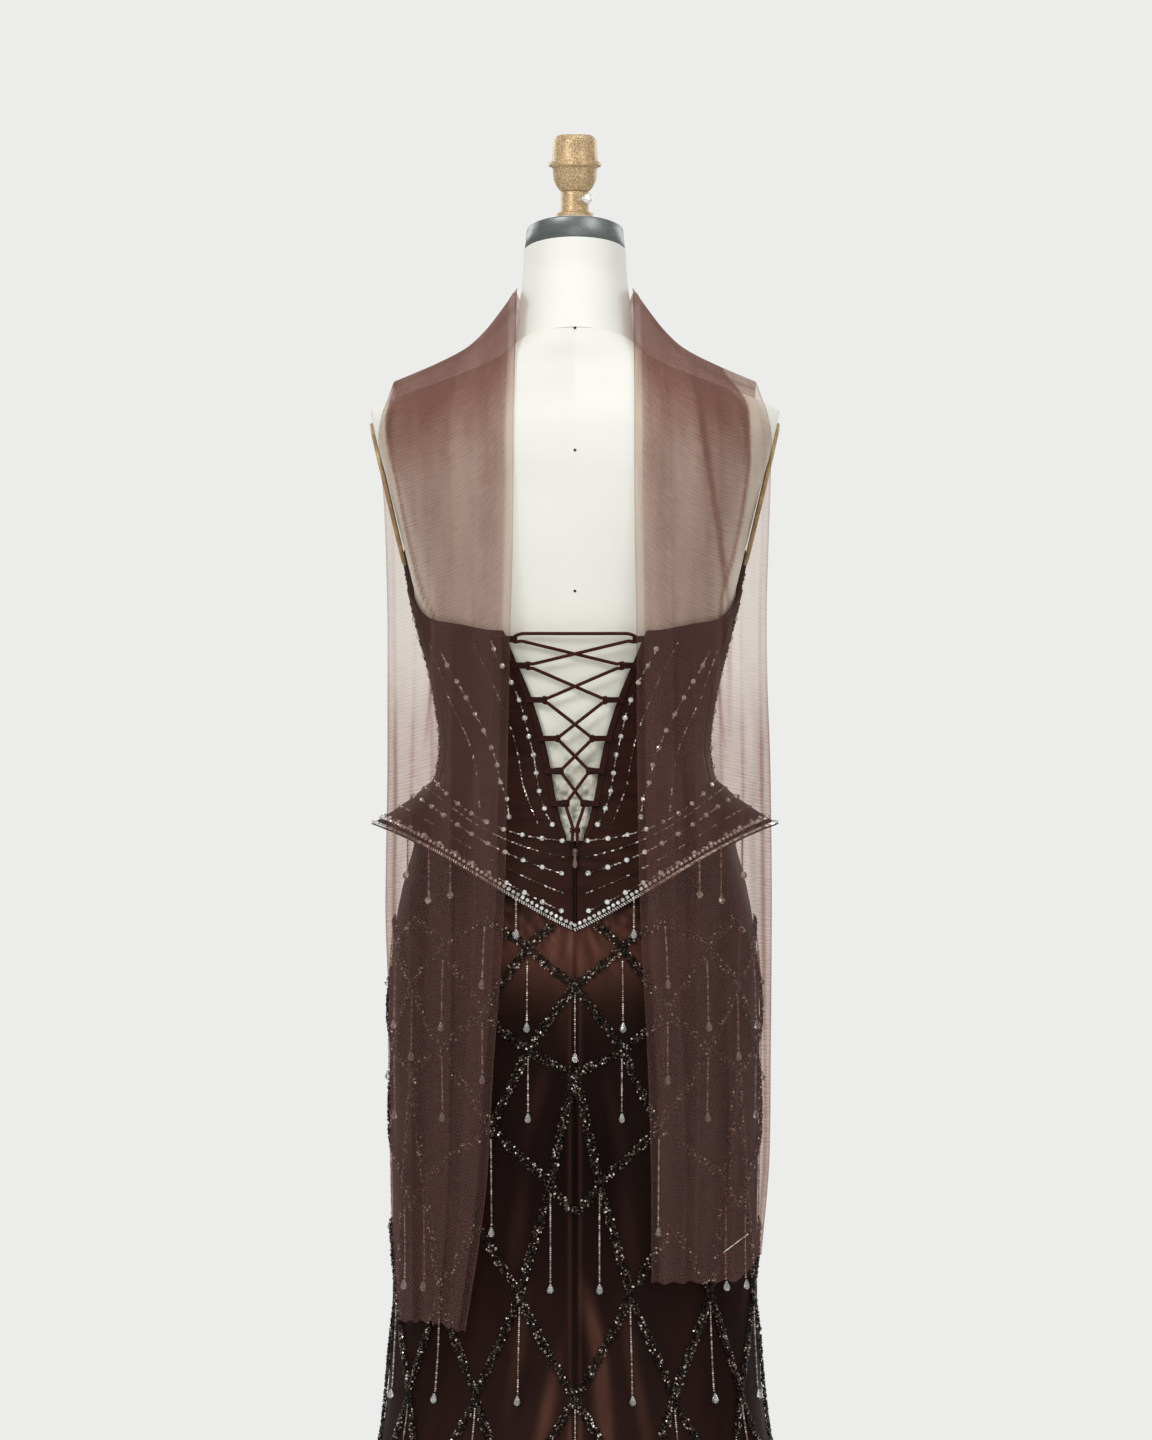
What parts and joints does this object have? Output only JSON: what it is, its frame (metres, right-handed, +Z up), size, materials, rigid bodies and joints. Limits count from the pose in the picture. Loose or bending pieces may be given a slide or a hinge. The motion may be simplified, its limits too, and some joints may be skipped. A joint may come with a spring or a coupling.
{
  "type": "beaded evening gown on a dress form",
  "caption": "Strapless laced-back gown with pointed basque, trumpet skirt, bead lattice and tulle stole, on a limbless dress form with stand.",
  "frame": {"origin": "middle of the stand base's underside, on the floor", "axes": "+Z up along the stand's pole, -Y towards the laced back, +X to the right seen from the back"},
  "size_m": [0.69, 0.6718, 1.635],
  "materials": {
    "aged_gold": "aged, speckled gold",
    "bead_rope": "faceted beads",
    "bright_steel": "polished",
    "brown_satin": "satin cloth",
    "brown_tulle": "sheer net",
    "brushed_steel": "brushed",
    "crystal_trim": "cut stones and tube beads",
    "dark_steel": "dark lacquer",
    "ivory_jersey": "ivory linen jersey over a hard shell",
    "ochre_plate": "satin ochre lacquer",
    "satin_binding": "satin bias binding",
    "satin_cord": "satin cord",
    "silver_pull": "polished",
    "zip_chain": "coil zip"
  },
  "bodies": {
    "gown_and_form": {"arm_plate_left": "ochre_plate", "arm_plate_right": "ochre_plate", "basque_back_left": "brown_satin", "basque_back_right": "brown_satin", "basque_front": "brown_satin", "basque_trim": "crystal_trim", "binding_left": "satin_binding", "binding_right": "satin_binding", "bodice_back_left": "brown_satin", "bodice_back_right": "brown_satin", "bodice_front": "brown_satin", "bodice_side_left": "brown_satin", "bodice_side_right": "brown_satin", "finial": "aged_gold", "finial_collar": "aged_gold", "form_neck": "ivory_jersey", "form_torso": "ivory_jersey", "lace": "satin_cord", "lace_loop_left_0": "satin_binding", "lace_loop_left_1": "satin_binding", "lace_loop_left_2": "satin_binding", "lace_loop_left_3": "satin_binding", "lace_loop_left_4": "satin_binding", "lace_loop_left_5": "satin_binding", "lace_loop_right_0": "satin_binding", "lace_loop_right_1": "satin_binding", "lace_loop_right_2": "satin_binding", "lace_loop_right_3": "satin_binding", "lace_loop_right_4": "satin_binding", "lace_loop_right_5": "satin_binding", "lattice_1_left": "bead_rope", "lattice_1_right": "bead_rope", "lattice_2": "bead_rope", "lattice_3": "bead_rope", "lattice_4": "bead_rope", "lattice_5": "bead_rope", "lattice_6": "bead_rope", "lattice_7": "bead_rope", "lattice_8": "bead_rope", "lattice_9": "bead_rope", "neck_band": "brushed_steel", "neck_cap": "ivory_jersey", "skirt_back_left": "brown_satin", "skirt_back_right": "brown_satin", "skirt_front": "brown_satin", "stand_base": "dark_steel", "stand_flange": "dark_steel", "stand_pole": "dark_steel", "stole_front": "brown_tulle", "stole_tail_left": "brown_tulle", "stole_tail_right": "brown_tulle", "zip_chain": "zip_chain", "zip_slider": "silver_pull"},
    "pull_tab": {"zip_pull_tab": "silver_pull"},
    "screw": {"clamp_screw": "bright_steel"}
  },
  "joints": [
    {"name": "zip_pull_tab_hinge", "type": "hinge", "parent": "gown_and_form", "child": "pull_tab", "pos_m": [0, -0.11708, 0.95184], "axis": [-1, 0, 0], "range_deg": [0, 150]},
    {"name": "clamp_screw_turn", "type": "hinge", "parent": "gown_and_form", "child": "screw", "pos_m": [0.00566, -0.01214, 1.573], "axis": [0.4226, -0.9063, 0], "range_deg": [0, 360]}
  ]
}
